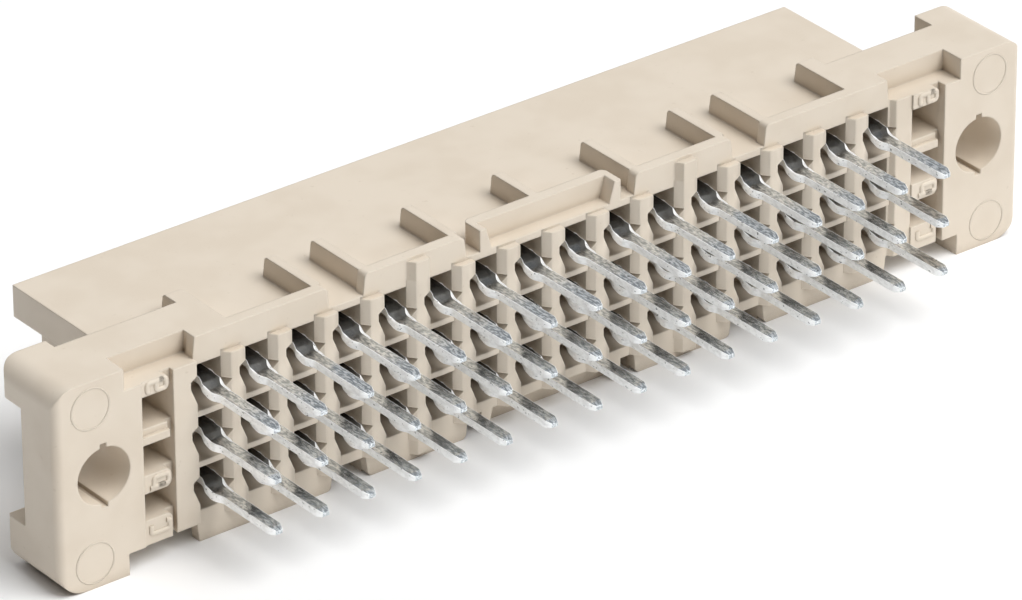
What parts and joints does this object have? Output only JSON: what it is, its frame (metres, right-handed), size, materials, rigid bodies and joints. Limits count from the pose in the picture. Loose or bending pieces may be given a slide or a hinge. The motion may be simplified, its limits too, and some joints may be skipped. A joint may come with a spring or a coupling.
{
  "type": "pcb socket strip",
  "caption": "Straight three-row board connector socket: a moulded housing with a mounting hole at each end, stamped contacts with solder tails, and square lead-ins on the mating face.",
  "frame": {"origin": "midway between the centres of the two fixing holes, on the plane that seats on the board", "axes": "+X along the strip, from column 1 to column 16; +Y in the mating direction, away from the board; +Z from row c to row a. The solder tails point along -Y."},
  "size_m": [0.055, 0.0156, 0.0104],
  "materials": {
    "housing": "satin moulded, light beige",
    "contact": "bright tin plating with fine streaks along the stamping"
  },
  "bodies": {
    "root": {"housing": "housing", "contact_a01": "contact", "contact_a02": "contact", "contact_a03": "contact", "contact_a04": "contact", "contact_a05": "contact", "contact_a06": "contact", "contact_a07": "contact", "contact_a08": "contact", "contact_a09": "contact", "contact_a10": "contact", "contact_a11": "contact", "contact_a12": "contact", "contact_a13": "contact", "contact_a14": "contact", "contact_a15": "contact", "contact_a16": "contact", "contact_b01": "contact", "contact_b02": "contact", "contact_b03": "contact", "contact_b04": "contact", "contact_b05": "contact", "contact_b06": "contact", "contact_b07": "contact", "contact_b08": "contact", "contact_b09": "contact", "contact_b10": "contact", "contact_b11": "contact", "contact_b12": "contact", "contact_b13": "contact", "contact_b14": "contact", "contact_b15": "contact", "contact_b16": "contact", "contact_c01": "contact", "contact_c02": "contact", "contact_c03": "contact", "contact_c04": "contact", "contact_c05": "contact", "contact_c06": "contact", "contact_c07": "contact", "contact_c08": "contact", "contact_c09": "contact", "contact_c10": "contact", "contact_c11": "contact", "contact_c12": "contact", "contact_c13": "contact", "contact_c14": "contact", "contact_c15": "contact", "contact_c16": "contact"}
  },
  "joints": []
}
